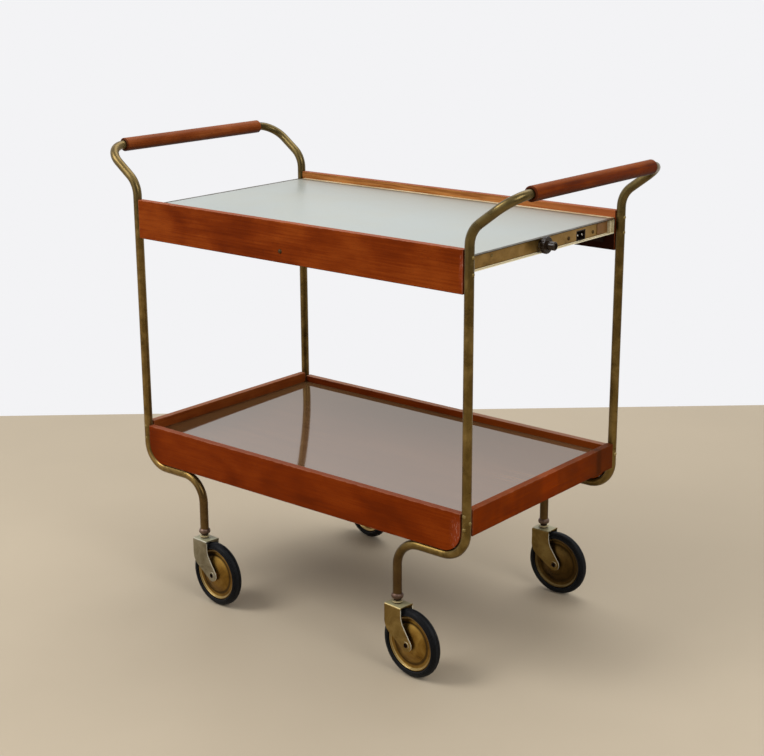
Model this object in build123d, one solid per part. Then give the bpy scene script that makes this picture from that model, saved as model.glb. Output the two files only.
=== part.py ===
from build123d import *
import os
from math import cos, degrees, radians, sin, tan

# Food warmer cart, in millimetres. +X runs along the cart towards its controls, -Y is the front,
# +Z is up, and the origin is on the floor at the middle of the cart.

# Wheels and tyres
tyre_depth = 11.9
tyre_width = 20.0
tyre_bead_width = 13.4
tyre_groove_count = 4
tyre_groove_depth = 0.5
tyre_groove_pitch = 2.2
rim_radius = 49.6
rim_bead_radius = 1.7
rim_half_width = 6.4
disc_thickness = 1.0
disc_groove_radius = 43.4
disc_groove_offset = 3.2
dome_radius = 36.0
dome_flat_radius = 12.0
dome_height = 6.2
hub_od = 16.0

# Caster forks and axles
caster_trail = 34.5
fork_sheet = 2.0
fork_inner_width = 28.0
fork_front = 16.0
fork_rear = 21.5
fork_head_room = 0.5
fork_front_slope = 33.9
fork_rear_slope = 55.8
fork_front_fillet = 26.0
fork_rear_fillet = 35.0
fork_tip_radius = 11.5
fork_edge_radius = 3.2
axle_od = 10.0
axle_bore = 8.4
axle_rim_radius = 6.5
axle_rim_thickness = 0.9
hub_end_gap = 0.3

# Caster stems
pivot_radius = 5.0
pivot_rivet_radius = 8.0
pivot_rivet_height = 2.6
pivot_rivet_edge = 1.0
stem_boss_radius = 7.4
stem_boss_height = 2.7
stem_washer_radius = 9.4
stem_washer_height = 2.0
stem_neck_radius = 6.4
stem_neck_height = 3.0
stem_ball_radius = 10.8
stem_ball_height = 10.5
stem_plug_length = 31.0
caster_angles = {"fr": -4.4, "fl": -3.7, "rr": 1.0, "rl": -10.0}

# Tube frames
tube_od = 16.0
tube_wall = 1.2
leg_span_x = 759.0
leg_span_y = 446.0
stub_inset = 144.5
stub_length = 97.8
stub_bend = 46.0
corner_bend = 46.0
kink_bend = 44.0
handle_bend = 42.0
kink_above_board = 29.0
handle_above_board = 89.0
handle_overhang = 81.0
tube_joint_gap = 0.4
spigot_length = 90.0

# Wood grips
grip_od = 25.0
grip_bend_gap = 1.0
grip_chamfer = 2.0
grip_ring_od = 19.4
grip_ring_depth = 2.0
grip_fit = 0.15

# Boards
board_thickness = 13.0
board_height = 71.0
board_above_run = 0.2
board_edge = 0.8
end_board_height = 45.7
end_board_rise = 6.5
tray_spacing = 435.0

# Lower panel
panel_below_rim = 12.5
core_thickness = 8.2
laminate_thickness = 0.8
groove_depth = 4.0
notch_gap = 0.8

# Screws through the legs
screw_shank = 3.6
screw_length = 38.0
screw_head_radius = 3.5
screw_head_height = 1.9
screw_seat_depth = 0.75
screw_slot_width = 0.8
screw_slot_depth = 0.7
upper_screw_depths = (11.7, 38.6)
lower_long_screw_depth = 14.2
lower_end_screw_depths = (2.1, 25.3)

# Warming plate
plate_below_rim = 12.5
heater_depth = 26.0
heater_left_inset = 9.0
heater_right_inset = 3.5
channel_lip = 6.0
channel_sheet = 1.2
channel_end_inset = 10.0
glass_thickness = 4.0
trim_sheet = 0.8
trim_cover = 10.0
trim_height = 8.0
pan_sheet = 1.0
carrier_thickness = 1.0
element_thickness = 0.4
element_width = 8.0
element_pitch = 36.0
element_rows = 11
element_end_margin = 36.0
element_below_glass = 0.1
controls_bay = 68.0
controls_bay_margin = 8.0

# Controls on the right channel
knob_y = -13.0
knob_above_pan = 13.5
knob_disc_radius = 14.5
knob_disc_thickness = 8.0
knob_cap_radius = 7.3
knob_cap_length = 14.5
knob_cap_recess_radius = 4.6
knob_cap_recess_depth = 2.5
knob_standoff = 7.0
knob_flute_count = 18
knob_flute_radius = 1.9
knob_bore_depth = 18.0
knob_edge = 1.2
shaft_radius = 3.0
bush_radius = 4.75
bush_length = 4.0
bush_nut_radius = 8.0
bush_nut_thickness = 2.4
thermostat_depth = 30.0
thermostat_width = 40.0
shaft_in_thermostat = 18.0
inlet_from_end = 97.5
inlet_above_pan = 10.5
inlet_mouth_width = 28.5
inlet_mouth_height = 18.0
inlet_wall = 1.6
inlet_depth = 22.0
inlet_body_width = 34.0
inlet_body_height = 18.8
inlet_flange_width = 90.0
inlet_flange_thickness = 3.0
inlet_screw_spacing = 76.0
pin_radius = 2.0
pin_spacing = 13.6
pin_below_mouth = 1.2
pin_tail = 3.0
lead_radius = 1.0
lead_bend = 5.0
blank_plate_width = 32.6
blank_plate_height = 19.0
blank_plate_thickness = 0.8
blank_plate_corner = 1.5
blank_plate_clip_gap = 1.0
clip_width = 13.0
clip_thickness = 1.0
rivet_from_end = 55.5
rivet_above_pan = 16.5
rivet_radius = 1.5
rivet_head_radius = 2.6
rivet_head_height = 1.0
rivet_tail = 0.8

# Rails that carry the warming plate
rail_sheet = 1.5
rail_ledge = 18.0
rail_height = 20.5
rail_end_gap = 21.3
rail_screw_spacing = 150.0
rail_screw_drop = 12.5
rail_screw_length = 12.0
bolt_x = -16.0
bolt_radius = 2.0
bolt_head_radius = 4.0
bolt_head_height = 2.2
bolt_nut_width = 7.0
bolt_nut_thickness = 3.0
bolt_tail = 2.0

# Clearances
running_fit = 0.05
hole_fit = 0.05
wood_gap = 0.2
swivel_gap = 0.3
slide_gap = 0.2
cut_margin = 1.0

# Heights, from the floor up
wheel_radius = rim_radius + tyre_depth
axle_z = wheel_radius
crown_underside = 2 * wheel_radius + fork_head_room
crown_top = crown_underside + fork_sheet
boss_z = crown_top + swivel_gap
washer_z = boss_z + stem_boss_height
neck_z = washer_z + stem_washer_height
ball_z = neck_z + stem_neck_height
stub_z = ball_z + stem_ball_height
run_z = stub_z + stub_length
tube_radius = tube_od / 2
lower_bottom = run_z + tube_radius + board_above_run
lower_rim = lower_bottom + board_height
end_top = lower_rim + end_board_rise
end_bottom = end_top - end_board_height
shelf_z = lower_rim - panel_below_rim
laminate_bottom = shelf_z - laminate_thickness
core_bottom = laminate_bottom - core_thickness
upper_rim = lower_rim + tray_spacing
upper_bottom = upper_rim - board_height
glass_top = upper_rim - plate_below_rim
glass_bottom = glass_top - glass_thickness
pan_bottom = glass_top - heater_depth
element_top = glass_bottom - element_below_glass
element_bottom = element_top - element_thickness
carrier_bottom = element_bottom - carrier_thickness
bay_floor = pan_bottom + pan_sheet
knob_z = pan_bottom + knob_above_pan
inlet_z = pan_bottom + inlet_above_pan
kink_z = upper_rim + kink_above_board
grip_z = upper_rim + handle_above_board

# Places along the cart and across it
leg_x = leg_span_x / 2
leg_y = leg_span_y / 2
stub_x = leg_x - stub_inset
grip_x = leg_x + handle_overhang
grip_half = leg_y - handle_bend - grip_bend_gap
board_end = leg_x - tube_radius - wood_gap
board_inner = leg_y - board_thickness / 2
board_outer = leg_y + board_thickness / 2
end_board_inner = leg_x - board_thickness / 2
end_board_outer = leg_x + board_thickness / 2
end_board_tip = leg_y - tube_radius - wood_gap
heater_right = leg_x - heater_right_inset
heater_left = heater_left_inset - leg_x
web_right = heater_right - channel_lip
web_left = heater_left + channel_lip
bay_right = web_right - channel_sheet
bay_left = web_left + channel_sheet
wall_inside = bay_right - pan_sheet
trim_inner = board_inner - trim_cover
pan_half = trim_inner - slide_gap
channel_half = board_inner - channel_end_inset
clip_middle = channel_half - clip_width / 2
inlet_y = channel_half - inlet_from_end
rivet_y = channel_half - rivet_from_end
blank_plate_end = channel_half - clip_width - blank_plate_clip_gap
fork_half = fork_inner_width / 2 + fork_sheet
bay_start = wall_inside - controls_bay

corners = {"fl": (-1, -1), "fr": (1, -1), "rl": (-1, 1), "rr": (1, 1)}
corner_names = {"fl": "front_left", "fr": "front_right", "rl": "rear_left", "rr": "rear_right"}


def save(name, *pieces):
    solids = [solid for piece in pieces for solid in piece.solids()]
    export_step(solids[0] if len(solids) == 1 else Compound(children=solids), f"parts/{name}.step")


def block(x0, x1, y0, y1, z0, z1):
    centre = Pos((x0 + x1) / 2, (y0 + y1) / 2, (z0 + z1) / 2)
    return centre * Box(abs(x1 - x0), abs(y1 - y0), abs(z1 - z0))


def rod(start, direction, radius, length):
    base = Plane(origin=start, z_dir=direction)
    return base * Cylinder(radius, length, align=(Align.CENTER, Align.CENTER, Align.MIN))


def turned(start, *steps):
    """A solid turned about Z. Each step is the next (radius, height) point of its outline, or two
    points for an arc: one that it passes through and its end. The outline closes on its start."""
    edges = []
    here = start
    for step in (*steps, start):
        if isinstance(step[0], tuple):
            edges.append(ThreePointArc(here, *step))
            here = step[1]
        else:
            edges.append(Line(here, step))
            here = step
    return revolve(Plane.XZ * make_face(edges), Axis.Z)


def domed_pin(head_radius, head_height, radius, length, taper=0):
    """A round head on Z = 0 with its shank below it, pointed over the last stretch."""
    return turned(
        (0, head_height),
        ((head_radius * 0.72, head_height * 0.72), (head_radius, 0)),
        (radius, 0), (radius, taper - length), (0, -length),
    )


# Tube frames

def leg_screws(sx, sy):
    """Seat point and outward direction of each screw through one leg, and which tray it holds."""
    seat = tube_radius - screw_seat_depth
    x, y = sx * leg_x, sy * leg_y
    places = []
    for depth in upper_screw_depths:
        places.append(("upper", (x + sx * seat, y, upper_rim - depth), (sx, 0, 0)))
    places.append(("lower", (x + sx * seat, y, lower_rim - lower_long_screw_depth), (sx, 0, 0)))
    for depth in lower_end_screw_depths:
        places.append(("lower", (x, y + sy * seat, lower_rim - depth), (0, sy, 0)))
    return places


def screw(seat, outward, length):
    body = domed_pin(screw_head_radius, screw_head_height, screw_shank / 2, length, taper=screw_shank)
    slot_z = screw_head_height - screw_slot_depth
    body -= block(
        -screw_head_radius, screw_head_radius, -screw_slot_width / 2, screw_slot_width / 2,
        slot_z, screw_head_height,
    )
    return Plane(origin=seat, z_dir=outward) * body


def screw_hole(seat, outward, length):
    inward = tuple(-value for value in outward)
    return rod(seat, inward, screw_shank / 2 + hole_fit, length + hole_fit)


def half_tube(sx, sy):
    path = FilletPolyline(
        (sx * stub_x, sy * leg_y, stub_z),
        (sx * stub_x, sy * leg_y, run_z),
        (sx * leg_x, sy * leg_y, run_z),
        (sx * leg_x, sy * leg_y, kink_z),
        (sx * grip_x, sy * leg_y, grip_z),
        (sx * grip_x, sy * tube_joint_gap / 2, grip_z),
        radius=[stub_bend, corner_bend, kink_bend, handle_bend],
    )
    start = Plane(origin=(sx * stub_x, sy * leg_y, stub_z), z_dir=(0, 0, 1))
    ring = start * (Circle(tube_radius) - Circle(tube_radius - tube_wall))
    tube = sweep(ring, path=path)
    for _, seat, outward in leg_screws(sx, sy):
        tube -= rod(seat, outward, screw_head_radius + hole_fit, screw_head_height)
        tube -= screw_hole(seat, outward, tube_od)
    return tube


def grip():
    outer = grip_od / 2
    bore = tube_radius + grip_fit
    ring = grip_ring_od / 2
    end = grip_half
    step = end - grip_ring_depth
    return Rot(X=90) * turned(
        (bore, -step), (ring, -step), (ring, -end), (outer - grip_chamfer, -end),
        (outer, grip_chamfer - end), (outer, end - grip_chamfer), (outer - grip_chamfer, end),
        (ring, end), (ring, step), (bore, step),
    )


# Casters, each drawn with its swivel axis on Z and its wheel trailing along +X

def caster_stem():
    """Plug, ball, neck, washer and bearing boss, with the swivel pin and its rivet head below."""
    plug = tube_radius - tube_wall - hole_fit
    rivet_top = crown_underside - swivel_gap
    rivet_bottom = rivet_top - pivot_rivet_height
    edge = pivot_rivet_radius - pivot_rivet_edge
    ball_mid = (stem_ball_radius, ball_z + stem_ball_height / 2)
    return turned(
        (0, rivet_bottom), (edge, rivet_bottom), (pivot_rivet_radius, rivet_bottom + pivot_rivet_edge),
        (pivot_rivet_radius, rivet_top), (pivot_radius, rivet_top), (pivot_radius, boss_z),
        (stem_boss_radius, boss_z), (stem_boss_radius, washer_z), (stem_washer_radius, washer_z),
        (stem_washer_radius, neck_z), (stem_neck_radius, neck_z), (stem_neck_radius, ball_z),
        (ball_mid, (tube_radius, stub_z)),
        (plug, stub_z), (plug, stub_z + stem_plug_length), (0, stub_z + stem_plug_length),
    )


def caster_fork():
    front = radians(fork_front_slope)
    rear = radians(fork_rear_slope)
    front_tip = (caster_trail - fork_tip_radius * sin(front), axle_z - fork_tip_radius * cos(front))
    rear_tip = (caster_trail + fork_tip_radius * sin(rear), axle_z + fork_tip_radius * cos(rear))
    front_z = front_tip[1] + (front_tip[0] + fork_front) * tan(front)
    rear_z = rear_tip[1] + (rear_tip[0] - fork_rear) * tan(rear)
    outline = make_face([
        FilletPolyline(
            (-fork_front, crown_top), (-fork_front, front_z), front_tip, radius=fork_front_fillet),
        CenterArc(
            (caster_trail, axle_z), fork_tip_radius, -90 - fork_front_slope,
            180 + fork_front_slope - fork_rear_slope),
        FilletPolyline(
            rear_tip, (fork_rear, rear_z), (fork_rear, crown_top), radius=fork_rear_fillet),
        Line((fork_rear, crown_top), (-fork_front, crown_top)),
    ])
    fork = extrude(Plane.XZ * outline, fork_half, both=True)
    inner_half = fork_inner_width / 2
    reach = caster_trail + 2 * fork_tip_radius
    fork -= block(-reach, reach, -inner_half, inner_half, 0, crown_underside)
    outer_edges = fork.edges().filter_by(Axis.X).group_by(Axis.Z)[-1]
    fork = fillet(outer_edges, fork_edge_radius)
    inner_edges = [
        edge for edge in fork.edges().filter_by(Axis.X)
        if abs(edge.center().Z - crown_underside) < 0.01 and abs(abs(edge.center().Y) - inner_half) < 0.01
    ]
    fork = fillet(inner_edges, fork_edge_radius - fork_sheet)
    fork -= rod((0, 0, crown_underside - fork_sheet), (0, 0, 1), pivot_radius + running_fit, 3 * fork_sheet)
    axle_hole = axle_od / 2 + hole_fit
    cut_half = fork_half + cut_margin
    fork -= rod((caster_trail, cut_half, axle_z), (0, -1, 0), axle_hole, 2 * cut_half)
    return fork


def on_axle(piece):
    return Pos(caster_trail, 0, axle_z) * Rot(X=90) * piece


def wheel_axle():
    rim_end = fork_half + axle_rim_thickness
    outer = axle_od / 2
    bore = axle_bore / 2
    return on_axle(turned(
        (bore, -rim_end), (axle_rim_radius, -rim_end), (axle_rim_radius, -fork_half),
        (outer, -fork_half), (outer, fork_half), (axle_rim_radius, fork_half),
        (axle_rim_radius, rim_end), (bore, rim_end),
    ))


def half_disc():
    """One pressed disc: a shallow dome, a groove, a rolled lip and a rim that carries the tyre."""
    sheet = disc_thickness
    hub = hub_od / 2 + hole_fit
    groove = disc_groove_offset
    top = groove + dome_height
    dome_mid = (dome_radius * 0.76, groove + dome_height * 0.62)
    under_mid = (dome_mid[0] - sheet * 0.35, dome_mid[1] - sheet)
    bead_z = rim_half_width - rim_bead_radius
    bead_top = (rim_radius - rim_bead_radius, rim_half_width)
    seam = slide_gap / 2
    return turned(
        (hub, top), (dome_flat_radius, top), (dome_mid, (dome_radius, groove)),
        (disc_groove_radius, groove), (rim_radius - 2 * rim_bead_radius, bead_z),
        (bead_top, (rim_radius, bead_z)), (rim_radius, seam), (rim_radius - sheet, seam),
        (rim_radius - sheet, bead_z - sheet), (disc_groove_radius + sheet / 2, groove - sheet),
        (dome_radius - sheet / 2, groove - sheet), (under_mid, (dome_flat_radius, top - sheet)),
        (hub, top - sheet),
    )


def wheel_discs():
    near = half_disc()
    hub_length = fork_inner_width - 2 * hub_end_gap
    hub = Cylinder(hub_od / 2, hub_length) - Cylinder(axle_od / 2 + running_fit, hub_length)
    return [on_axle(near), on_axle(mirror(near, about=Plane.XY)), on_axle(hub)]


def tyre():
    seat = rim_radius + hole_fit
    bead = tyre_bead_width / 2
    half = tyre_width / 2
    shoulder = wheel_radius - half
    depth = tyre_groove_depth
    ring = turned(
        (seat, bead), (seat, -bead), (shoulder, -half), ((wheel_radius, 0), (shoulder, half)))
    notch = make_face(Polyline((-depth, 0), (depth, depth), (depth, -depth), close=True))
    for side in (-1, 1):
        for number in range(tyre_groove_count):
            turn = (number + 1.2) * tyre_groove_pitch / half
            mouth = Pos(shoulder + half * sin(turn), side * half * cos(turn))
            facing = Rot(Z=side * (90 - degrees(turn)))
            ring -= revolve(Plane.XZ * mouth * facing * notch, Axis.Z)
    return on_axle(ring)


def caster(corner):
    sx, sy = corners[corner]
    place = Pos(sx * stub_x, sy * leg_y, 0)
    turn = place * Rot(Z=caster_angles[corner])
    save(f"caster_stem_{corner}", place * caster_stem())
    save(f"caster_fork_{corner}", turn * caster_fork())
    save(f"wheel_axle_{corner}", turn * wheel_axle())
    save(f"wheel_discs_{corner}", *[turn * piece for piece in wheel_discs()])
    save(f"tyre_{corner}", turn * tyre())


# Boards and lower panel

def upper_board(sy):
    board = block(-board_end, board_end, sy * board_inner, sy * board_outer, upper_bottom, upper_rim)
    board = fillet(board.edges().filter_by(Axis.X), board_edge)
    for sx in (-1, 1):
        for tray, seat, outward in leg_screws(sx, sy):
            if tray == "upper":
                board -= screw_hole(seat, outward, screw_length)
    board -= rod((bolt_x, 0, rail_fixing_z()), (0, sy, 0), bolt_radius + hole_fit, board_outer + 1)
    for x in rail_screw_places():
        seat = (x, sy * (board_inner - rail_sheet), rail_fixing_z())
        board -= screw_hole(seat, (0, -sy, 0), rail_screw_length)
    return board


def lower_board(sy):
    corner_radius = corner_bend - tube_radius - wood_gap
    face = make_face([
        FilletPolyline(
            (-board_end, lower_rim), (-board_end, lower_bottom), (board_end, lower_bottom),
            (board_end, lower_rim), radius=corner_radius),
        Line((board_end, lower_rim), (-board_end, lower_rim)),
    ])
    board = Pos(0, sy * leg_y, 0) * extrude(Plane.XZ * face, board_thickness / 2, both=True)
    board = fillet(board.edges().filter_by(Axis.X), board_edge)
    board -= block(
        -leg_x, leg_x, sy * board_inner, sy * (board_inner + groove_depth),
        core_bottom - slide_gap / 2, laminate_bottom + slide_gap / 2,
    )
    for sx in (-1, 1):
        for tray, seat, outward in leg_screws(sx, sy):
            if tray == "lower" and outward[0]:
                board -= screw_hole(seat, outward, screw_length)
    return board


def lower_end_board(sx):
    board = block(
        sx * end_board_inner, sx * end_board_outer, -end_board_tip, end_board_tip, end_bottom, end_top)
    board = fillet(board.edges().filter_by(Axis.Y), board_edge)
    board -= block(
        sx * end_board_inner, sx * (end_board_inner + groove_depth), -leg_y, leg_y,
        core_bottom - slide_gap / 2, laminate_bottom + slide_gap / 2,
    )
    for sy in (-1, 1):
        for tray, seat, outward in leg_screws(sx, sy):
            if tray == "lower" and outward[1]:
                board -= screw_hole(seat, outward, screw_length)
    return board


def panel_core():
    """The panel whose edges lie in the boards' grooves, notched round the legs."""
    half_x = end_board_inner + groove_depth - slide_gap
    half_y = board_inner + groove_depth - slide_gap
    core = block(-half_x, half_x, -half_y, half_y, core_bottom, laminate_bottom)
    notch = tube_radius + notch_gap
    low = core_bottom - cut_margin
    high = laminate_bottom + cut_margin
    for sx, sy in corners.values():
        core -= rod((sx * leg_x, sy * leg_y, low), (0, 0, 1), notch, high - low)
        core -= block(sx * board_end, sx * leg_x, sy * end_board_tip, sy * leg_y, low, high)
    return core


def panel_laminate():
    half_x = end_board_inner - slide_gap
    half_y = board_inner - slide_gap
    return block(-half_x, half_x, -half_y, half_y, laminate_bottom, shelf_z)


# Rails under the warming plate

def rail_fixing_z():
    return pan_bottom - rail_screw_drop


def rail_screw_places():
    return [(number - 1.5) * rail_screw_spacing for number in range(4)]


def support_rail(sy):
    half = board_end - rail_end_gap
    inner = board_inner - rail_sheet
    rail = block(-half, half, sy * inner, sy * board_inner, pan_bottom - rail_height, pan_bottom)
    rail += block(
        -half, half, sy * (board_inner - rail_ledge), sy * board_inner,
        pan_bottom - rail_sheet, pan_bottom,
    )
    for x in rail_screw_places():
        rail -= screw_hole((x, sy * inner, rail_fixing_z()), (0, -sy, 0), 3 * rail_sheet)
    inner_start = (bolt_x, sy * (inner - 1), rail_fixing_z())
    rail -= rod(inner_start, (0, sy, 0), bolt_radius + hole_fit, 3 * rail_sheet)
    return rail


def rail_screws():
    pieces = []
    for sy in (-1, 1):
        for x in rail_screw_places():
            seat = (x, sy * (board_inner - rail_sheet), rail_fixing_z())
            pieces.append(screw(seat, (0, -sy, 0), rail_screw_length))
    return pieces


def rail_bolts():
    """A domed bolt through each upper board and its rail, with its nut."""
    pieces = []
    inside_y = board_inner - rail_sheet
    length = board_outer - inside_y + bolt_nut_thickness + bolt_tail
    nut_face = RegularPolygon(bolt_nut_width / 2, 6, major_radius=False)
    nut = extrude(nut_face - Circle(bolt_radius + hole_fit), bolt_nut_thickness)
    for sy in (-1, 1):
        outside = Plane(origin=(bolt_x, sy * board_outer, rail_fixing_z()), z_dir=(0, sy, 0))
        inside = Plane(origin=(bolt_x, sy * inside_y, rail_fixing_z()), z_dir=(0, -sy, 0))
        pieces.append(outside * domed_pin(bolt_head_radius, bolt_head_height, bolt_radius, length))
        pieces.append(inside * nut)
    return pieces


# Warming plate

def heater_pan():
    pan = block(bay_left, bay_right, -pan_half, pan_half, pan_bottom, glass_bottom)
    pan -= block(
        bay_left + pan_sheet, wall_inside, -pan_half + pan_sheet, pan_half - pan_sheet,
        bay_floor, glass_top,
    )
    return pan - control_cuts() - rivet_holes()


def control_cuts():
    """What is cut out of both the right channel and the pan wall behind it."""
    start = wall_inside - 1
    depth = web_right - start + 1
    cuts = rod((start, knob_y, knob_z), (1, 0, 0), bush_radius + 0.2, depth)
    cuts += block(
        start, start + depth, inlet_y - inlet_mouth_width / 2, inlet_y + inlet_mouth_width / 2,
        inlet_z - inlet_mouth_height / 2, inlet_z + inlet_mouth_height / 2,
    )
    for y in inlet_screw_places():
        cuts += rod((start, y, inlet_z), (1, 0, 0), screw_shank / 2 + hole_fit, depth)
    return cuts


def inlet_screw_places():
    return [inlet_y - inlet_screw_spacing / 2, inlet_y + inlet_screw_spacing / 2]


def rivet_seats():
    """Each rivet's seat on the outside of a channel web, and its outward direction."""
    height = pan_bottom + rivet_above_pan
    return [
        ((web_right, -rivet_y, height), (1, 0, 0)),
        ((web_right + clip_thickness, clip_middle, pan_bottom + heater_depth / 2), (1, 0, 0)),
        ((web_left, -rivet_y, height), (-1, 0, 0)),
        ((web_left, rivet_y, height), (-1, 0, 0)),
    ]


def rivet_holes():
    depth = channel_sheet + pan_sheet + clip_thickness + 1
    holes = None
    for seat, outward in rivet_seats():
        inward = tuple(-value for value in outward)
        hole = rod(seat, inward, rivet_radius + hole_fit, depth)
        holes = hole if holes is None else holes + hole
    return holes


def channel_rivets():
    pieces = []
    for seat, outward in rivet_seats():
        web = web_right if outward[0] > 0 else web_left
        length = abs(seat[0] - web) + channel_sheet + pan_sheet + rivet_tail
        rivet = domed_pin(rivet_head_radius, rivet_head_height, rivet_radius, length)
        pieces.append(Plane(origin=seat, z_dir=outward) * rivet)
    return pieces


def end_channel(web, bay, lip_end):
    channel = block(web, bay, -channel_half, channel_half, pan_bottom, glass_top)
    channel += block(bay, lip_end, -channel_half, channel_half, pan_bottom, pan_bottom + channel_sheet)
    channel += block(bay, lip_end, -channel_half, channel_half, glass_top - channel_sheet, glass_top)
    return channel


def edge_trim(sy):
    """An angle strip on a board's inner face, flush with the glass beside it."""
    left = bay_left + slide_gap
    right = bay_right - slide_gap
    trim = block(
        left, right, sy * (board_inner - trim_sheet), sy * board_inner, glass_top - trim_height, glass_top)
    trim += block(
        left, right, sy * trim_inner, sy * board_inner, glass_top - trim_sheet, glass_top)
    return trim


def heating_element():
    """A flat ribbon that runs to and fro along the plate, with half-round turns."""
    left = bay_left + element_end_margin
    right = bay_right - element_end_margin
    half = element_width / 2
    bend = element_pitch / 2
    first = -(element_rows - 1) / 2 * element_pitch
    ribbon = None
    for row in range(element_rows):
        y = first + row * element_pitch
        strip = Pos((left + right) / 2, y) * Rectangle(right - left, element_width)
        ribbon = strip if ribbon is None else ribbon + strip
        if row < element_rows - 1:
            end = right if row % 2 == 0 else left
            side = 1 if row % 2 == 0 else -1
            turn = Circle(bend + half) - Circle(bend - half)
            turn &= Pos(side * bend, 0) * Rectangle(2 * bend, 4 * bend)
            ribbon += Pos(end, y + bend) * turn
    return Pos(0, 0, element_bottom) * extrude(ribbon, element_thickness)


def element_carrier():
    gap = slide_gap
    side = pan_half - pan_sheet - gap
    return block(
        bay_left + pan_sheet + gap, wall_inside - gap, -side, side, carrier_bottom, element_bottom)


def insulation_blanket():
    gap = slide_gap
    side = pan_half - pan_sheet - gap
    blanket = block(
        bay_left + pan_sheet + gap, wall_inside - gap, -side, side, bay_floor, carrier_bottom)
    bay_front = knob_y - thermostat_width / 2 - controls_bay_margin
    bay_rear = inlet_y + inlet_flange_width / 2 + controls_bay_margin
    blanket -= block(bay_start, bay_right, bay_front, bay_rear, bay_floor - 1, carrier_bottom + 1)
    return blanket - rivet_holes()


# Controls

def thermostat_body():
    body = block(
        wall_inside - thermostat_depth, wall_inside, knob_y - thermostat_width / 2,
        knob_y + thermostat_width / 2, bay_floor, carrier_bottom,
    )
    bush_reach = web_right - wall_inside + bush_length
    body += rod((wall_inside, knob_y, knob_z), (1, 0, 0), bush_radius, bush_reach)
    bore_start = wall_inside - shaft_in_thermostat - 1
    body -= rod((bore_start, knob_y, knob_z), (1, 0, 0), shaft_radius + running_fit, thermostat_depth * 2)
    return body


def thermostat_nut():
    face = RegularPolygon(bush_nut_radius, 6) - Circle(bush_radius + hole_fit)
    return Plane(origin=(web_right, knob_y, knob_z), z_dir=(1, 0, 0)) * extrude(face, bush_nut_thickness)


def knob_start():
    return web_right + knob_standoff


def thermostat_shaft():
    start = wall_inside - shaft_in_thermostat
    return rod((start, knob_y, knob_z), (1, 0, 0), shaft_radius, knob_start() + knob_bore_depth - start)


def thermostat_knob():
    cap_end = knob_disc_thickness + knob_cap_length
    ease = knob_edge
    knob = turned(
        (0, 0), (knob_disc_radius - ease, 0), (knob_disc_radius, ease),
        (knob_disc_radius, knob_disc_thickness - ease), (knob_disc_radius - ease, knob_disc_thickness),
        (knob_cap_radius, knob_disc_thickness), (knob_cap_radius, cap_end - ease),
        (knob_cap_radius - ease, cap_end), (0, cap_end),
    )
    for number in range(knob_flute_count):
        turn = radians(360 / knob_flute_count * number)
        reach = knob_disc_radius + knob_flute_radius * 0.45
        place = (reach * cos(turn), reach * sin(turn), -cut_margin)
        knob -= rod(place, (0, 0, 1), knob_flute_radius, knob_disc_thickness + 2 * cut_margin)
    knob -= rod((0, 0, cap_end - knob_cap_recess_depth), (0, 0, 1), knob_cap_recess_radius, cap_end)
    knob -= rod((0, 0, -1), (0, 0, 1), shaft_radius + hole_fit, knob_bore_depth + 1 + hole_fit)
    return Plane(origin=(knob_start(), knob_y, knob_z), z_dir=(1, 0, 0)) * knob


def inlet_housing():
    flange_x = wall_inside - inlet_flange_thickness
    half_flange = inlet_flange_width / 2
    half_body = inlet_body_width / 2
    half_height = inlet_body_height / 2
    mouth_half = inlet_mouth_width / 2 - slide_gap
    mouth_up = inlet_mouth_height / 2 - slide_gap
    back = web_right - inlet_depth - inlet_wall
    low = max(bay_floor, inlet_z - half_height)
    high = min(carrier_bottom, inlet_z + half_height)
    housing = block(flange_x, wall_inside, inlet_y - half_flange, inlet_y + half_flange, low, high)
    housing += block(back, wall_inside, inlet_y - half_body, inlet_y + half_body, low, high)
    housing += block(
        wall_inside, web_right, inlet_y - mouth_half, inlet_y + mouth_half,
        inlet_z - mouth_up, inlet_z + mouth_up,
    )
    cavity_half = mouth_half - inlet_wall
    cavity_up = mouth_up - inlet_wall
    housing -= block(
        web_right - inlet_depth, web_right + 1, inlet_y - cavity_half, inlet_y + cavity_half,
        inlet_z - cavity_up, inlet_z + cavity_up,
    )
    for y in pin_places():
        housing -= rod((back - 1, y, inlet_z), (1, 0, 0), pin_radius + hole_fit, 2 * inlet_wall + 1)
    for y in inlet_screw_places():
        housing -= rod(
            (flange_x - 1, y, inlet_z), (1, 0, 0), screw_shank / 2 + hole_fit, inlet_flange_thickness + 2)
    return housing


def pin_places():
    return [inlet_y - pin_spacing / 2, inlet_y + pin_spacing / 2]


def pin_back():
    return web_right - inlet_depth - inlet_wall - pin_tail


def inlet_pins():
    pieces = []
    for y in pin_places():
        length = web_right - pin_below_mouth - pin_back()
        pin = rod((pin_back(), y, inlet_z), (1, 0, 0), pin_radius, length)
        pieces.append(fillet(pin.edges().group_by(Axis.X)[-1], pin_radius * 0.8))
    return pieces


def inlet_screws():
    length = web_right - wall_inside + inlet_flange_thickness + screw_shank
    return [screw((web_right, y, inlet_z), (1, 0, 0), length) for y in inlet_screw_places()]


def wire(*points):
    path = FilletPolyline(*points, radius=lead_bend)
    start = Vector(*points[0])
    section = Plane(origin=start, z_dir=Vector(*points[1]) - start) * Circle(lead_radius)
    return sweep(section, path=path)


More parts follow.
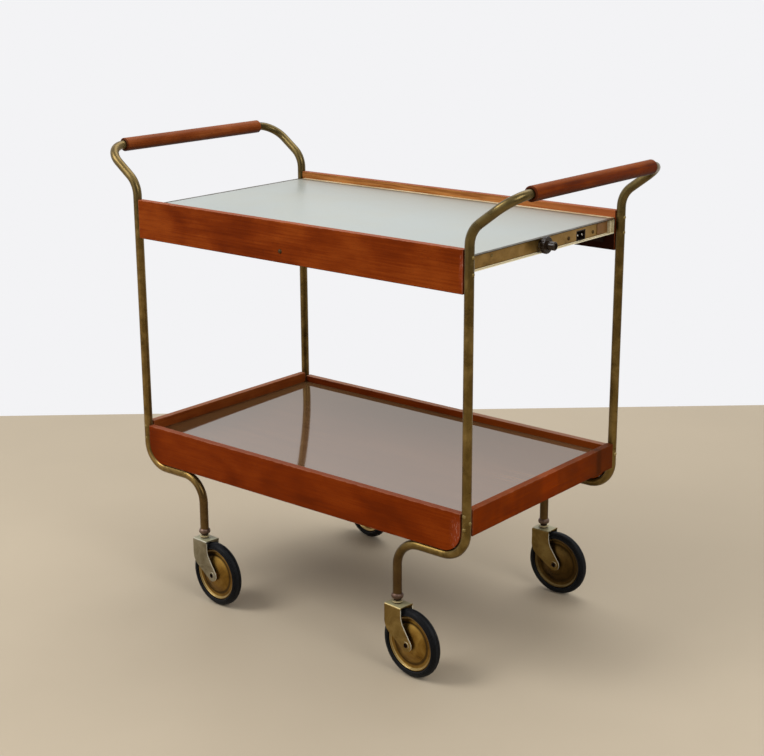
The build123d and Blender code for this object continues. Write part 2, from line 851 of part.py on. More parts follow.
def internal_leads():
    """Inlet to thermostat, inlet to element and thermostat to element."""
    thermostat_back = wall_inside - thermostat_depth
    near, far = pin_places()
    back = pin_back()
    link_x = back - 3 * lead_bend
    feed_x = back - 5 * lead_bend
    feed_y = knob_y - thermostat_width / 4
    z = inlet_z
    top = carrier_bottom
    return [
        wire((back, near, z), (link_x, near, z), (link_x, knob_y, z), (thermostat_back, knob_y, z)),
        wire((back, far, z), (feed_x, far, z), (feed_x, far, top)),
        wire((thermostat_back, feed_y, z), (feed_x, feed_y, z), (feed_x, feed_y, top)),
    ]


def blank_plate():
    middle = pan_bottom + heater_depth / 2
    half = blank_plate_height / 2
    plate = block(
        web_right, web_right + blank_plate_thickness, blank_plate_end - blank_plate_width, blank_plate_end,
        middle - half, middle + half,
    )
    return fillet(plate.edges().filter_by(Axis.X), blank_plate_corner)


def corner_clip():
    inside = heater_depth / 2 - channel_sheet - slide_gap
    middle = pan_bottom + heater_depth / 2
    clip = block(
        web_right, web_right + clip_thickness, channel_half - clip_width, channel_half,
        middle - inside, middle + inside,
    )
    for side in (-1, 1):
        clip += block(
            web_right, heater_right, clip_middle + side * (clip_width / 2 - clip_thickness),
            clip_middle + side * clip_width / 2, middle - inside, middle + inside,
        )
    return clip - rivet_holes()


os.makedirs("parts", exist_ok=True)

for corner, (sx, sy) in corners.items():
    save(f"tube_{corner_names[corner]}", half_tube(sx, sy))
    caster(corner)

for side, sx in (("left", -1), ("right", 1)):
    save(f"grip_{side}", Pos(sx * grip_x, 0, grip_z) * grip())
    save(f"lower_{side}_board", lower_end_board(sx))

spigot = Rot(X=90) * Cylinder(tube_radius - tube_wall - hole_fit, spigot_length)
save("grip_spigots", *[Pos(sx * grip_x, 0, grip_z) * spigot for sx in (-1, 1)])

for side, sy in (("front", -1), ("rear", 1)):
    save(f"upper_{side}_board", upper_board(sy))
    save(f"lower_{side}_board", lower_board(sy))
    save(f"support_rail_{side}", support_rail(sy))
    save(f"edge_trim_{side}", edge_trim(sy))

leg_screw_list = [place for sx, sy in corners.values() for place in leg_screws(sx, sy)]
for tray in ("upper", "lower"):
    chosen = [screw(seat, outward, screw_length) for name, seat, outward in leg_screw_list if name == tray]
    save(f"{tray}_board_screws", *chosen)

save("lower_panel_core", panel_core())
save("lower_panel_top", panel_laminate())
save("rail_fasteners", *rail_screws(), *rail_bolts())

save("heater_pan", heater_pan())
save("glass_plate", block(
    bay_left + slide_gap, bay_right - slide_gap, -pan_half, pan_half, glass_bottom, glass_top))
right_channel = end_channel(web_right, bay_right, heater_right)
save("end_channel_right", right_channel - control_cuts() - rivet_holes())
save("end_channel_left", end_channel(web_left, bay_left, heater_left) - rivet_holes())
save("channel_rivets", *channel_rivets())
save("heating_element", heating_element())
save("element_carrier", element_carrier())
save("insulation_blanket", insulation_blanket())

save("thermostat_body", thermostat_body())
save("thermostat_nut", thermostat_nut())
save("thermostat_shaft", thermostat_shaft())
save("thermostat_knob", thermostat_knob())
save("inlet_housing", inlet_housing())
save("inlet_pins", *inlet_pins())
save("inlet_screws", *inlet_screws())
save("internal_leads", *internal_leads())
save("blank_plate", blank_plate())
save("corner_clip", corner_clip())
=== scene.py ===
from math import atan2, cos, radians, sin

import bpy
from mathutils import Matrix, Vector


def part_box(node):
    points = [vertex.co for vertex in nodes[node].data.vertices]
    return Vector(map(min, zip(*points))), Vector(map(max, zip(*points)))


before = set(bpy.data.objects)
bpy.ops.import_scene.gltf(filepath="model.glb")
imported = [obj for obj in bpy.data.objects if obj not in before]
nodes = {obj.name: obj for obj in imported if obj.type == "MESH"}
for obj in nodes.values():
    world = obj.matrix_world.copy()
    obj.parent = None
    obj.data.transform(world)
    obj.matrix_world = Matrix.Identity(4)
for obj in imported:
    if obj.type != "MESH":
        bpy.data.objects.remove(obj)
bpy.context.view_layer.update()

# Looks of the food warmer cart, in metres, in the frame of its CAD model: +X runs along the cart
# towards its controls, -Y is the front, +Z is up, and the floor is Z = 0.

corners = ("fl", "fr", "rl", "rr")

# Heights above the floor at which the looks change.
plate_line = (0.741, 0.744)
tube_foot = (0.19, 0.25)
tube_head = (0.68, 0.78)
stem_washer = (0.1284, 0.1306)
stem_neck_shade = (0.1308, 0.1337)

# Where the glass's band of painted shade along its rear edge sets in, measured back from the cart's middle.
glass_shade_band = (0.188, 0.206)

# How the shelf's panel sags along and across the cart: the height is this times the place squared.
sag_along = 0.012
sag_across = 0.155

# Heights above the lower edge of a board and of an end channel, for the painted shade along a board's foot,
# the painted highlight on a channel's bottom lip and the painted shade in the crease above it.
board_foot_shade = (0.0004, 0.0018)
channel_foot_highlight = (0.0014, 0.0022)
channel_crease_shade = (0.0022, 0.0034)

# Radii from a wheel's axle.
axle_bore_shade = (0.0043, 0.0046)
disc_groove_shade = (0.0350, 0.0395)
disc_lip_highlight = (0.0448, 0.0475)
disc_rim = (0.0478, 0.0488)
tyre_shoulder = 0.0515

# The tyre's painted rib highlights: how fast they follow each other round the shoulder, per radian.
rib_highlight_rate = 28.56

# The corner clip's dark oval: its half sizes across and up.
oval_half_width = 0.0022
oval_half_height = 0.0042


def colour(red, green, blue):
    """A colour as it shows on a screen, from 0 to 255."""
    linear = []
    for value in (red, green, blue):
        value /= 255
        linear.append(value / 12.92 if value <= 0.04045 else ((value + 0.055) / 1.055) ** 2.4)
    return (*linear, 1.0)


# Node trees

class Nodes:
    """Shader nodes that are worked out from a place or a direction."""

    def __init__(self, tree, place):
        self.tree = tree
        self.place = self.node("TexCoord", {}, place)

    def node(self, kind, inputs, output=0, **settings):
        node = self.tree.nodes.new("ShaderNode" + kind)
        for name, value in settings.items():
            setattr(node, name, value)
        for socket, value in inputs.items():
            self.join(value, node.inputs[socket])
        return node.outputs[output]

    def join(self, value, socket):
        if isinstance(value, bpy.types.NodeSocket):
            self.tree.links.new(value, socket)
        else:
            socket.default_value = value

    def maths(self, operation, *values):
        return self.node("Math", dict(enumerate(values)), operation=operation)

    def product(self, first, *others):
        for other in others:
            first = self.maths("MULTIPLY", first, other)
        return first

    def levels(self, value, low, high, start=0.0, end=1.0):
        """The value's range from low to high, spread smoothly over start to end."""
        sockets = {"Value": value, "From Min": low, "From Max": high, "To Min": start, "To Max": end}
        return self.node("MapRange", sockets, interpolation_type="SMOOTHSTEP")

    def band(self, value, low, high, soft):
        """1 where the value is between low and high, and 0 outside, with soft ends."""
        return self.product(
            self.levels(value, low - soft, low + soft), self.levels(value, high - soft, high + soft, 1, 0))

    def shades(self, value, *colours):
        """A ramp of colours, each one (position, colour)."""
        node = self.tree.nodes.new("ShaderNodeValToRGB")
        self.join(value, node.inputs[0])
        stops = node.color_ramp.elements
        while len(stops) < len(colours):
            stops.new(0.5)
        for stop, (position, shade) in zip(stops, colours):
            stop.position = position
            stop.color = shade
        return node.outputs[0]

    def mix(self, factor, first, second):
        return self.node("Mix", {0: factor, 6: first, 7: second}, 2, data_type="RGBA")

    def axes(self, vector=None):
        node = self.tree.nodes.new("ShaderNodeSeparateXYZ")
        self.join(vector or self.place, node.inputs[0])
        return node.outputs

    def noise(self, scale, detail=3.0, roughness=0.5, distortion=0.0, place=None):
        """Noise with a number of features per metre, the same all ways or (x, y, z)."""
        scale = scale if isinstance(scale, tuple) else (scale, scale, scale)
        vector = self.node("Mapping", {"Vector": place or self.place, "Scale": scale})
        sockets = {
            "Vector": vector, "Scale": 1.0, "Detail": detail,
            "Roughness": roughness, "Distortion": distortion,
        }
        return self.node("TexNoise", sockets, "Fac")


class Finish(Nodes):
    """A material that is worked out from where each point is on the cart."""

    def __init__(self, name, **settings):
        self.material = bpy.data.materials.new(name)
        self.material.use_nodes = True
        super().__init__(self.material.node_tree, "Object")
        self.shader = self.tree.nodes["Principled BSDF"]
        self.set(**settings)

    def set(self, **sockets):
        for name, value in sockets.items():
            self.join(value, self.shader.inputs[name.replace("_", " ")])

    def facing(self):
        """The way that the surface faces, along X, Y and Z of its part."""
        return self.axes(self.node("TexCoord", {}, "Normal"))

    def facing_front(self):
        """1 on faces that look towards the front, such as a rear board's inner face."""
        return self.levels(self.facing()[1], -0.8, -0.5, 1, 0)

    def turned(self, centre, angle=0.0):
        """Places measured from a centre, in axes turned about Z."""
        sockets = {"Vector": self.place, "Location": centre, "Rotation": (0, 0, angle)}
        return self.node("Mapping", sockets, vector_type="TEXTURE")

    def length(self, first, second):
        """The distance from the origin in the plane of two coordinates."""
        squares = self.maths("ADD", self.product(first, first), self.product(second, second))
        return self.maths("SQRT", squares)

    def relief(self, height, depth):
        return self.node("Bump", {"Height": height, "Distance": depth, "Strength": 1.0}, "Normal")

    def edge_distance(self, low, high):
        """How far a point on a box is from the box's nearest edge."""
        gaps = []
        for axis, value in enumerate(self.axes()):
            centre = (low[axis] + high[axis]) / 2
            half = (high[axis] - low[axis]) / 2
            off = self.maths("ABSOLUTE", self.maths("SUBTRACT", value, centre))
            gaps.append(self.maths("SUBTRACT", half, off))
        first, second, third = gaps
        lesser = self.maths("MINIMUM", first, second)
        greater = self.maths("MAXIMUM", first, second)
        return self.maths("MAXIMUM", lesser, self.maths("MINIMUM", greater, third))


def dress(finish, *names):
    """Puts a finish on CAD nodes."""
    for name in names:
        materials = nodes[name].data.materials
        for number in range(len(materials)):
            materials[number] = finish.material


# Wood

wood_pore = colour(46, 16, 4)
wood_underside_shade = colour(44, 16, 6)
wood_foot_shade = colour(40, 14, 5)
rubbed_wood = colour(182, 122, 94)
scuff_haze = colour(150, 66, 42)
scuff_fleck = colour(190, 140, 120)


def along(axis, lengthways, across):
    """Features per metre for a grain that runs along one axis."""
    return tuple(lengthways if index == axis else across for index in range(3))


def wood(name, node, axis, tones, rim, wear=0.35, gloss=0.4, shine=0.05):
    """Old oiled wood, its grain along one axis, its edges worn paler, its top faces paler from wear and a
    painted highlight, its undersides and lower edge darkened with painted shade.
    """
    dark, medium, light = tones
    finish = Finish(name, Specular_IOR_Level=shine, Specular_Tint=(1.0, 0.42, 0.12, 1.0))
    figure = finish.noise(along(axis, 9, 16), detail=3, distortion=0.3)
    streaks = finish.noise(along(axis, 10, 330), detail=4, roughness=0.6)
    fibres = finish.noise(along(axis, 70, 1700), detail=2, roughness=0.6)
    pores = finish.noise(along(axis, 170, 2300), detail=1)
    tone = finish.maths("MULTIPLY_ADD", streaks, 0.36, finish.product(figure, 0.64))
    base = finish.shades(tone, (0.37, dark), (0.5, medium), (0.63, light))
    base = finish.mix(finish.levels(fibres, 0.5, 0.8, 0, 0.4), base, dark)
    pore = finish.levels(pores, 0.62, 0.74, 0, 0.6)
    base = finish.mix(pore, base, wood_pore)
    up = finish.facing()[2]
    # Top faces take the rim tone, paler partly from wear and partly from a painted highlight.
    base = finish.mix(finish.levels(up, 0.5, 0.9, 0, 0.55), base, rim)
    # Faces that look down are darkened with painted shade.
    base = finish.mix(finish.levels(up, -0.9, -0.3, 0.8, 0), base, wood_underside_shade)
    low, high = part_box(node)
    # A thin line of painted shade runs along the lower edge.
    foot_painted_light = finish.levels(finish.axes()[2], low[2] + board_foot_shade[0], low[2] + board_foot_shade[1], 0.7, 0)
    base = finish.mix(foot_painted_light, base, wood_foot_shade)
    edge = finish.edge_distance(low, high)
    rag = finish.noise(70, detail=5, roughness=0.7)
    ragged = finish.maths("SUBTRACT", edge, finish.levels(rag, 0.4, 0.75, 0, 0.0016))
    rubbed = finish.product(finish.levels(ragged, 0.0, 0.0007, wear, 0), finish.levels(up, -0.6, -0.1))
    base = finish.mix(rubbed, base, rubbed_wood)
    finish.set(Roughness=finish.levels(streaks, 0.3, 0.7, gloss, gloss + 0.14))
    finish.set(Normal=finish.relief(finish.maths("SUBTRACT", finish.product(fibres, 0.5), pore), 0.0001))
    dress(finish, node)
    return finish, base


# The rim tones colour the boards' top faces, paler partly from wear and partly from a painted highlight; the
# grips' rim tones are a painted highlight.
upper_tones = (colour(102, 36, 6), colour(122, 48, 10), colour(142, 64, 18))
upper_rim = colour(154, 88, 57)
lower_tones = (colour(99, 34, 4), colour(116, 42, 5), colour(130, 52, 9))
inner_tones = (colour(108, 47, 16), colour(132, 63, 23), colour(150, 78, 33))
lower_rim = colour(150, 84, 55)
hazy_rim = colour(158, 124, 100)
warm_tones = (colour(134, 80, 36), colour(160, 104, 54), colour(180, 122, 68))
end_tones = (colour(110, 38, 2), colour(130, 49, 2), colour(146, 60, 5))
grip_tones = {
    "left": (colour(94, 38, 11), colour(121, 56, 19), colour(143, 76, 35)),
    "right": (colour(74, 24, 1), colour(100, 38, 2), colour(128, 58, 10)),
}
grip_highlight_rims = {"left": colour(132, 74, 42), "right": colour(136, 70, 26)}


def scuffs(finish, base, node, width, strength):
    """A worn haze with pale flecks beside a board's right-hand end."""
    low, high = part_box(node)
    x, _, z = finish.axes()
    marks = finish.noise((460, 300, 120), detail=4, roughness=0.72, distortion=0.4)
    near = finish.levels(x, high[0] - width, high[0] - width * 0.25, 0, strength)
    near = finish.product(near, finish.band(z, low[2] + 0.012, high[2] - 0.012, 0.01))
    base = finish.mix(finish.product(near, 0.5), base, scuff_haze)
    return finish.mix(finish.product(near, finish.levels(marks, 0.54, 0.66)), base, scuff_fleck)


finish, base = wood("wood_upper_front", "upper_front_board", 0, upper_tones, upper_rim)
base = scuffs(finish, base, "upper_front_board", 0.008, 0.8)
finish.set(Base_Color=base)

finish, base = wood("wood_upper_rear", "upper_rear_board", 0, upper_tones, upper_rim)
# The rear board's inner face is paler above the plate, partly bleached wood and partly painted light
# reflected from the plate, and darkened with painted shade below it.
x, _, z = finish.axes()
inside = finish.facing_front()
grain = finish.noise(along(0, 14, 260), detail=4, roughness=0.6)
bleached_and_lit = finish.shades(grain, (0.35, warm_tones[0]), (0.5, warm_tones[1]), (0.65, warm_tones[2]))
bleached_and_lit = finish.mix(finish.levels(x, 0.05, 0.37, 0, 0.8), bleached_and_lit, colour(160, 84, 48))
base = finish.mix(inside, base, bleached_and_lit)
base = finish.mix(finish.product(inside, finish.levels(z, *plate_line, 1, 0)), base, colour(34, 13, 7))
finish.set(Base_Color=base)

finish, base = wood("wood_lower_front", "lower_front_board", 0, lower_tones, lower_rim)
base = scuffs(finish, base, "lower_front_board", 0.024, 0.7)
finish.set(Base_Color=base)

# The lower rear board's top is a pale haze, partly wear and partly a painted highlight; its inner face gets
# darker to the left with painted shade and lighter to the right with painted light.
finish, base = wood("wood_lower_rear", "lower_rear_board", 0, lower_tones, hazy_rim)
x = finish.axes()[0]
inside = finish.facing_front()
base = finish.mix(finish.product(inside, finish.levels(x, -0.35, 0.1, 0.45, 0)), base, colour(40, 18, 8))
base = finish.mix(finish.product(inside, finish.levels(x, -0.1, 0.3, 0, 0.7)), base, colour(142, 68, 22))
finish.set(Base_Color=base)

finish, base = wood("wood_lower_left", "lower_left_board", 1, inner_tones, colour(150, 104, 78))
finish.set(Base_Color=base)

finish, base = wood("wood_lower_right", "lower_right_board", 1, end_tones, colour(152, 82, 44), shine=0.02)
# The right end board is darker towards the rear, with a few broad upright bands.
_, y, _ = finish.axes()
bands = finish.noise((1, 16, 1), detail=2)
shade = finish.maths("ADD", finish.levels(y, 0.03, 0.2, 0, 0.7), finish.levels(bands, 0.5, 0.62, 0, 0.3))
finish.set(Base_Color=finish.mix(shade, base, colour(60, 28, 8)))

for side in ("left", "right"):
    finish, base = wood(
        f"wood_grip_{side}", f"grip_{side}", 1, grip_tones[side], grip_highlight_rims[side], wear=0.0,
        shine=0.1 if side == "left" else 0.05)
    # The grips' undersides are darkened with painted shade.
    under_shade = finish.levels(finish.facing()[2], -0.75, 0.1, 0.6, 0)
    base = finish.mix(under_shade, base, colour(62, 24, 6))
    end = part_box(f"grip_{side}")[1][1]
    reach = finish.maths("ABSOLUTE", finish.axes()[1])
    base = finish.mix(finish.levels(reach, end - 0.003, end - 0.001, 0, 0.75), base, colour(60, 30, 20))
    finish.set(Base_Color=base)


# Metal

def aged_brass(name, dark, medium, pale, bright, polish=0.34, metallic=0.85):
    """Brass gone olive and brown, with rubbed places, small spots and fine scratches."""
    finish = Finish(name, Metallic=metallic)
    patches = finish.noise(34, detail=6, roughness=0.62, distortion=0.6)
    broad = finish.noise(9, detail=2)
    spots = finish.noise(420, detail=3, roughness=0.7)
    tone = finish.maths("MULTIPLY_ADD", patches, 0.6, finish.product(broad, 0.4))
    base = finish.shades(tone, (0.33, dark), (0.49, medium), (0.66, pale))
    base = finish.mix(finish.levels(spots, 0.58, 0.72, 0, 0.5), base, dark)
    base = finish.mix(finish.levels(spots, 0.24, 0.38, 0.3, 0), base, bright)
    finish.set(Roughness=finish.levels(patches, 0.3, 0.7, polish, polish + 0.18))
    finish.set(Normal=finish.relief(finish.noise(900, detail=4, roughness=0.7), 0.00003))
    return finish, base


# The front left tube is the brightest. All are browner just above the casters and greyer at the top.
dull_tube = (colour(68, 51, 20), colour(102, 81, 37), colour(136, 112, 62))
bright_tube = (colour(83, 64, 28), colour(124, 98, 50), colour(158, 131, 79))
tube_tones = {
    "front_left": bright_tube, "front_right": dull_tube, "rear_left": dull_tube, "rear_right": dull_tube,
}
for place, tones in tube_tones.items():
    finish, base = aged_brass(f"tube_brass_{place}", *tones, colour(190, 166, 112), polish=0.25)
    z = finish.axes()[2]
    base = finish.mix(finish.levels(z, *tube_head, 0, 0.5), base, colour(98, 88, 56))
    finish.set(Base_Color=finish.mix(finish.levels(z, *tube_foot, 0.65, 0), base, colour(70, 48, 28)))
    dress(finish, f"tube_{place}")

finish, base = aged_brass(
    "screw_brass", colour(92, 76, 40), colour(140, 120, 72), colour(190, 170, 120), colour(220, 204, 160))
finish.set(Base_Color=base)
dress(finish, "upper_board_screws", "lower_board_screws", "channel_rivets")

finish, base = aged_brass(
    "dull_screw_brass", colour(50, 36, 20), colour(72, 54, 30), colour(102, 80, 46), colour(180, 156, 106))
finish.set(Base_Color=base)
dress(finish, "inlet_screws", "rail_fasteners")

finish, base = aged_brass(
    "trim_brass", colour(190, 174, 132), colour(216, 202, 164), colour(232, 222, 190), colour(242, 236, 212),
    metallic=0.3)
finish.set(Base_Color=base)
dress(finish, "edge_trim_front", "edge_trim_rear")

# Each end channel has a brown web, a top lip darkened with painted shade, a crease darkened with painted
# shade, and a bottom lip brightened with a painted highlight.
for side in ("left", "right"):
    finish, base = aged_brass(
        f"channel_brass_{side}",
        colour(116, 86, 38), colour(158, 124, 64), colour(184, 150, 92), colour(214, 192, 142))
    low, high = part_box(f"end_channel_{side}")
    z = finish.axes()[2]
    lip_painted_light = finish.levels(z, high[2] - 0.0016, high[2] - 0.0008)
    base = finish.mix(lip_painted_light, base, colour(66, 56, 36))
    foot_painted_light = finish.levels(z, low[2] + channel_foot_highlight[0], low[2] + channel_foot_highlight[1], 1, 0)
    crease_shade = finish.band(z, low[2] + channel_crease_shade[0], low[2] + channel_crease_shade[1], 0.0004)
    base = finish.mix(finish.product(crease_shade, 0.6), base, colour(70, 52, 28))
    base = finish.mix(foot_painted_light, base, colour(246, 236, 202))
    finish.set(Base_Color=base, Metallic=finish.levels(foot_painted_light, 0, 1, 0.85, 0.1))
    dress(finish, f"end_channel_{side}")

finish, base = aged_brass(
    "blank_plate", colour(116, 78, 38), colour(146, 104, 56), colour(172, 134, 80), colour(200, 168, 116),
    metallic=0.6)
finish.set(Base_Color=base)
dress(finish, "blank_plate")

fork_tones = {
    "nickel": (colour(98, 88, 67), colour(134, 126, 104), colour(164, 157, 137), colour(206, 202, 186)),
    "olive": (colour(90, 69, 29), colour(126, 101, 50), colour(154, 129, 73), colour(202, 184, 134)),
}
fork_kinds = {"fl": "nickel", "rl": "nickel", "fr": "olive", "rr": "olive"}
disc_tones = {
    corner: (colour(88, 64, 22), colour(128, 95, 39), colour(160, 127, 62), colour(206, 176, 112))
    for corner in corners
}
disc_tones["rr"] = (colour(62, 46, 20), colour(88, 66, 30), colour(114, 88, 44), colour(150, 120, 72))


def middle(node):
    """The middle of a CAD node's box."""
    low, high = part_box(node)
    return tuple((first + second) / 2 for first, second in zip(low, high))


def caster_finishes(corner):
    """One caster's finishes, in axes whose Y runs along its wheel's axle."""
    pivot = middle(f"caster_stem_{corner}")
    axle = middle(f"wheel_axle_{corner}")
    angle = atan2(axle[1] - pivot[1], axle[0] - pivot[0])
    tones = fork_tones[fork_kinds[corner]]
    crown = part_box(f"caster_fork_{corner}")[1][2]

    # The fork's cut edges are bright, partly bare metal and partly a painted highlight, and its bend carries
    # a painted highlight; its crown's top face is greenish and pale with painted light, and its axle's bore
    # is darkened with painted shade.
    finish, base = aged_brass(f"fork_{corner}", *tones, polish=0.3)
    facing = finish.node("TexCoord", {}, "Normal")
    sideways = finish.maths("ABSOLUTE", finish.node(
        "VectorMath", {0: facing, 1: (-sin(angle), cos(angle), 0)}, "Value", operation="DOT_PRODUCT"))
    z = finish.axes()[2]
    bare_edge_and_highlight = finish.product(
        finish.levels(sideways, 0.25, 0.5, 0.85, 0), finish.levels(z, crown - 0.005, crown - 0.002, 1, 0))
    bend_highlight = finish.product(
        finish.band(sideways, 0.35, 0.85, 0.1), finish.levels(z, crown - 0.004, crown - 0.002, 0, 0.5))
    top = finish.levels(finish.facing()[2], 0.7, 0.9, 0, 0.7)
    base = finish.mix(top, base, colour(164, 162, 128))
    base = finish.mix(bend_highlight, base, tones[3])
    base = finish.mix(bare_edge_and_highlight, base, colour(228, 222, 200))
    x, _, z = finish.axes(finish.turned(axle, angle))
    bore_shade = finish.levels(finish.length(x, z), *axle_bore_shade, 1, 0)
    base = finish.mix(bore_shade, base, colour(46, 26, 18))
    dull = finish.maths("MAXIMUM", finish.maths("MAXIMUM", finish.product(bare_edge_and_highlight, 0.7), bore_shade), top)
    finish.set(Base_Color=base, Metallic=finish.levels(dull, 0, 1, 0.85, 0))
    dress(finish, f"caster_fork_{corner}", f"wheel_axle_{corner}")

    # The stem's collar is dark and pinkish, with a bright washer below it and painted shade on the neck
    # between them.
    finish, base = aged_brass(
        f"stem_{corner}", colour(70, 52, 42), colour(98, 76, 64), colour(128, 106, 92), colour(190, 172, 150))
    z = finish.axes()[2]
    base = finish.mix(finish.band(z, *stem_neck_shade, 0.0002), base, colour(40, 28, 20))
    base = finish.mix(finish.band(z, *stem_washer, 0.0002), base, colour(214, 202, 162))
    finish.set(Base_Color=base)
    dress(finish, f"caster_stem_{corner}")

    # The discs have rings: a gold dome, a groove darkened with painted shade and a lip brightened with a
    # painted highlight.
    finish, base = aged_brass(f"disc_{corner}", *disc_tones[corner], polish=0.27, metallic=0.95)
    x, _, z = finish.axes(finish.turned(axle, angle))
    radius = finish.length(x, z)
    groove_shade = finish.band(radius, *disc_groove_shade, 0.0012)
    base = finish.mix(finish.product(groove_shade, 0.8), base, colour(58, 42, 18))
    lip_painted_light = finish.band(radius, *disc_lip_highlight, 0.0006)
    base = finish.mix(finish.product(lip_painted_light, 0.2 if corner == "rr" else 0.5), base, colour(200, 178, 124))
    rim = finish.levels(radius, *disc_rim)
    base = finish.mix(finish.product(rim, 0.6), base, colour(96, 74, 40))
    finish.set(Base_Color=base)
    dress(finish, f"wheel_discs_{corner}")

    # The tyre's shoulders have fine ribs, with painted highlights paler than the rubber between them.
    finish = Finish(f"tyre_{corner}", Specular_IOR_Level=0.09)
    x, y, z = finish.axes(finish.turned(axle, angle))
    above = finish.maths("SUBTRACT", finish.length(x, z), tyre_shoulder)
    turn = finish.maths("ARCTAN2", above, finish.maths("ABSOLUTE", y))
    rib_highlight = finish.maths("SINE", finish.product(turn, rib_highlight_rate))
    dust = finish.noise(260, detail=4, roughness=0.65)
    base = finish.mix(finish.levels(dust, 0.35, 0.7), colour(6, 6, 7), colour(14, 14, 16))
    base = finish.mix(finish.product(finish.levels(rib_highlight, 0.65, 0.95), 0.4), base, colour(84, 88, 94))
    finish.set(Base_Color=base, Roughness=finish.levels(dust, 0.3, 0.7, 0.4, 0.55))
    finish.set(Normal=finish.relief(dust, 0.00003))
    dress(finish, f"tyre_{corner}")


for corner in corners:
    caster_finishes(corner)


# Plain parts

def painted(name, base, spread, roughness, grain=300, depth=0.00002, **settings):
    """A plain part with slight changes of tone and a fine surface."""
    finish = Finish(name, **settings)
    tone = finish.noise(grain, detail=4, roughness=0.65)
    finish.base = finish.mix(finish.levels(tone, 0.35, 0.65), base, spread)
    finish.set(Base_Color=finish.base)
    finish.set(Roughness=finish.levels(tone, 0.3, 0.7, roughness, roughness + 0.12))
    finish.set(Normal=finish.relief(tone, depth))
    return finish


steel = painted("pan_steel", colour(150, 148, 142), colour(120, 118, 112), 0.36, grain=120, Metallic=0.85)
dress(steel, "heater_pan", "grip_spigots", "thermostat_nut", "thermostat_shaft")
# The support rails are dark brown, painted shade for the shadow under the warming tray.
rail = painted("rail_painted_shade", colour(38, 18, 10), colour(28, 13, 7), 0.5, grain=90, Specular_IOR_Level=0.1)
dress(rail, "support_rail_front", "support_rail_rear")
bright = painted("bright_metal", colour(226, 224, 218), colour(190, 188, 180), 0.2, Metallic=1.0)
dress(bright, "inlet_pins")
bakelite = painted("bakelite", colour(29, 19, 12), colour(41, 29, 18), 0.22, Specular_IOR_Level=0.35)
dress(bakelite, "thermostat_knob", "inlet_housing", "thermostat_body")

# The corner clip is pale, with a dark oval.
pale = painted("pale_plate", colour(206, 196, 164), colour(180, 166, 128), 0.4, grain=160)
_, y, z = pale.axes(pale.turned(middle("corner_clip")))
across = pale.product(y, y, 1 / oval_half_width ** 2)
oval = pale.maths("ADD", across, pale.product(z, z, 1 / oval_half_height ** 2))
pale.set(Base_Color=pale.mix(pale.levels(oval, 0.8, 1.3, 1, 0), pale.base, colour(78, 76, 52)))
dress(pale, "corner_clip")

# Hidden parts
core = painted("panel_core", colour(120, 92, 62), colour(104, 78, 52), 0.6)
dress(core, "lower_panel_core")
mineral = painted("mineral_board", colour(206, 200, 186), colour(184, 178, 164), 0.8)
dress(mineral, "element_carrier", "insulation_blanket", "internal_leads")
ribbon = painted("ribbon_metal", colour(120, 116, 112), colour(96, 90, 86), 0.4, Metallic=1.0)
dress(ribbon, "heating_element")

# Warming glass and shelf

glass = Finish("warming_glass", Specular_IOR_Level=0.5)
cloud = glass.noise(6, detail=4, roughness=0.6)
satin = glass.noise(700, detail=3)
tint = glass.mix(glass.levels(cloud, 0.35, 0.65), colour(158, 165, 161), colour(163, 167, 160))
# It is warmer towards its rear right corner, with a soft band of painted shade along its rear edge.
x, y, _ = glass.axes()
warm = glass.product(glass.levels(y, -0.05, 0.213, 0, 0.8), glass.levels(x, -0.4, 0.37, 0.5, 1))
tint = glass.mix(warm, tint, colour(138, 134, 120))
tint = glass.mix(glass.levels(y, *glass_shade_band, 0, 0.9), tint, colour(64, 64, 48))
glass.set(Base_Color=tint, Roughness=glass.levels(cloud, 0.3, 0.7, 0.3, 0.36))
glass.set(Normal=glass.relief(satin, 0.000004))
dress(glass, "glass_plate")

shelf = Finish("shelf_laminate", IOR=2.0, Specular_Tint=(1.0, 0.9, 0.82, 1.0))
grain = shelf.noise((4, 120, 1), detail=5, roughness=0.6, distortion=0.3)
soft = shelf.noise((2, 14, 1), detail=2)
walnut = (0.35, colour(104, 74, 49)), (0.5, colour(112, 80, 54)), (0.65, colour(119, 86, 59))
tint = shelf.shades(grain, *walnut)
tint = shelf.mix(shelf.levels(soft, 0.4, 0.7, 0, 0.3), tint, colour(108, 80, 57))
x, y, _ = shelf.axes()
# It is darker towards its rear and left edges, painted shade where the warming tray above keeps light off it.
behind_shade = shelf.product(shelf.levels(y, -0.05, 0.19, 0, 0.9), shelf.levels(x, 0.0, 0.36, 1, 0.45))
shade = shelf.maths("MAXIMUM", behind_shade, shelf.levels(x, -0.36, -0.2, 0.9, 0))
tint = shelf.mix(shade, tint, colour(80, 58, 34))
# The panel sags a little, which bends what it mirrors.
sag = shelf.maths("ADD", shelf.product(x, x, sag_along), shelf.product(y, y, sag_across))
shelf.set(Base_Color=tint, Roughness=shelf.levels(grain, 0.3, 0.7, 0.05, 0.07))
shelf.set(Normal=shelf.relief(sag, 1.0))
dress(shelf, "lower_panel_top")

# Floor

# The floor's far edge is the line where the photograph's floor meets its wall.
edge_point = Vector((-0.744, 0.916, 0))
edge_way = Vector((1.526, 1.354, 0)).normalized()
edge_out = Vector((edge_way.y, -edge_way.x, 0))
floor_reach = 7.0

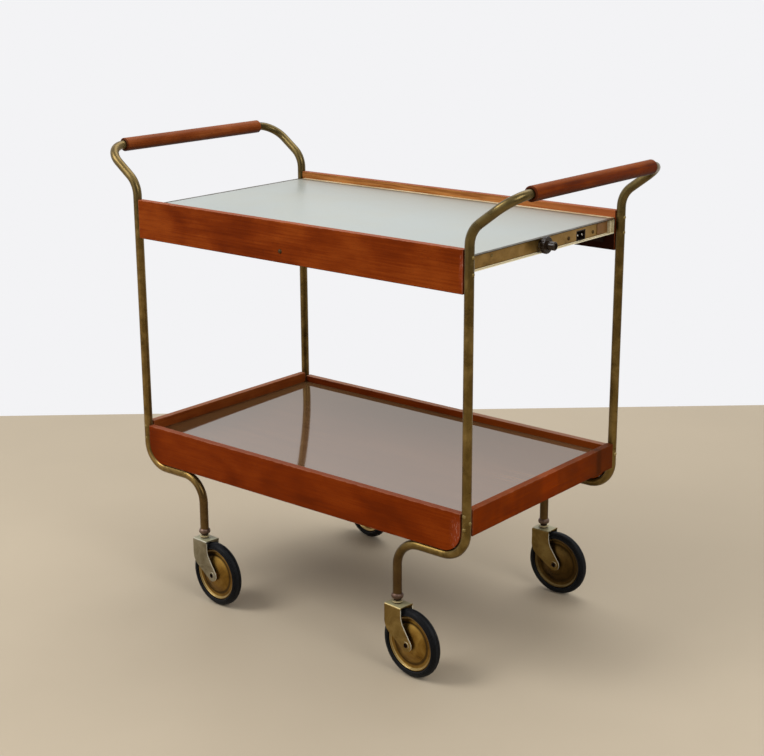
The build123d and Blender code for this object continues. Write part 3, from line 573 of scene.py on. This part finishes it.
far_left = edge_point - edge_way * floor_reach
far_right = edge_point + edge_way * floor_reach
near_right = far_right + edge_out * floor_reach
near_left = far_left + edge_out * floor_reach
floor_mesh = bpy.data.meshes.new("floor")
floor_mesh.from_pydata([far_left, far_right, near_right, near_left], [], [(0, 3, 2, 1)])
floor = bpy.data.objects.new("floor", floor_mesh)
bpy.context.scene.collection.objects.link(floor)
ground = Finish("floor_grey", Specular_IOR_Level=0.15)
floor_tone = ground.noise(3, detail=4)
ground.set(Base_Color=ground.mix(floor_tone, colour(180, 166, 144), colour(190, 176, 154)))
ground.set(Roughness=ground.levels(floor_tone, 0.3, 0.7, 0.6, 0.7))
floor_mesh.materials.append(ground.material)

# World

wall_white = colour(243, 243, 245)
wall_way = (-0.62, 0.75, 0.1)
window_way = (-0.35, -0.93, 0.12)

world = bpy.data.worlds.new("studio")
bpy.context.scene.world = world
world.use_nodes = True
sky = Nodes(world.node_tree, "Generated")


def aim(way):
    """How nearly a ray points one way: 1 along it, 0 across it."""
    sockets = {0: sky.place, 1: Vector(way).normalized()}
    return sky.node("VectorMath", sockets, "Value", operation="DOT_PRODUCT")


# What lights the cart, and what its glossy faces mirror: a pale wall behind, a window and a ceiling.
height = sky.axes()[2]
soft_light = sky.maths("ADD", sky.levels(height, -1.0, 0.0, 0.2, 0.44), sky.levels(height, 0.0, 1.0, 0, 0.28))
backdrop = sky.levels(aim(wall_way), -0.1, 0.55, 0.16, 0.9)
window = sky.levels(aim(window_way), 0.8, 0.94, 0, 1.2)
ceiling = sky.levels(height, 0.15, 0.9, 0, 0.72)
mirrored = sky.maths("MAXIMUM", sky.maths("MAXIMUM", backdrop, window), ceiling)
rays = sky.tree.nodes.new("ShaderNodeLightPath")
unseen = sky.mix(rays.outputs["Is Glossy Ray"], soft_light, mirrored)
# Behind the floor's edge there is only a plain pale wall.
direct = sky.maths("MAXIMUM", rays.outputs["Is Camera Ray"], rays.outputs["Is Transmission Ray"])
sky.join(sky.mix(direct, unseen, wall_white), sky.tree.nodes["Background"].inputs["Color"])


# Lamps

def lamp(name, place, target, size, power):
    """A round soft lamp, its size in metres and its power in watts."""
    light = bpy.data.lights.new(name, "AREA")
    light.shape = "DISK"
    light.size = size
    light.energy = power
    holder = bpy.data.objects.new(name, light)
    holder.location = place
    holder.rotation_mode = "QUATERNION"
    holder.rotation_quaternion = (Vector(target) - Vector(place)).to_track_quat("-Z", "Y")
    bpy.context.scene.collection.objects.link(holder)


lamp("key", (-1.6, -2.2, 2.9), (0, 0, 0.4), 1.8, 66)
lamp("fill", (2.6, -0.6, 2.2), (0, 0, 0.5), 1.6, 30)
lamp("top", (-0.3, 1.2, 3.2), (0, 0, 0.4), 2.2, 30)

# Camera

camera_place = (1.76423, -2.10225, 1.22566)
turn = radians(39.64)
pitch = radians(16.091)
roll = radians(-0.246)

camera = bpy.data.objects.new("camera", bpy.data.cameras.new("camera"))
bpy.context.scene.collection.objects.link(camera)
bpy.context.scene.camera = camera
camera.data.lens = 72.573
camera.data.sensor_width = 36
camera.data.sensor_fit = "HORIZONTAL"
camera.data.shift_x = -0.0026
camera.data.shift_y = -0.0016
ahead = Vector((-sin(turn) * cos(pitch), cos(turn) * cos(pitch), -sin(pitch)))
right = Vector((cos(turn), sin(turn), 0))
up = right.cross(ahead)
right, up = right * cos(roll) + up * sin(roll), up * cos(roll) - right * sin(roll)
facing = Matrix((right, up, -ahead)).transposed().to_4x4()
camera.matrix_world = Matrix.Translation(camera_place) @ facing

bpy.context.scene.view_settings.view_transform = "Standard"
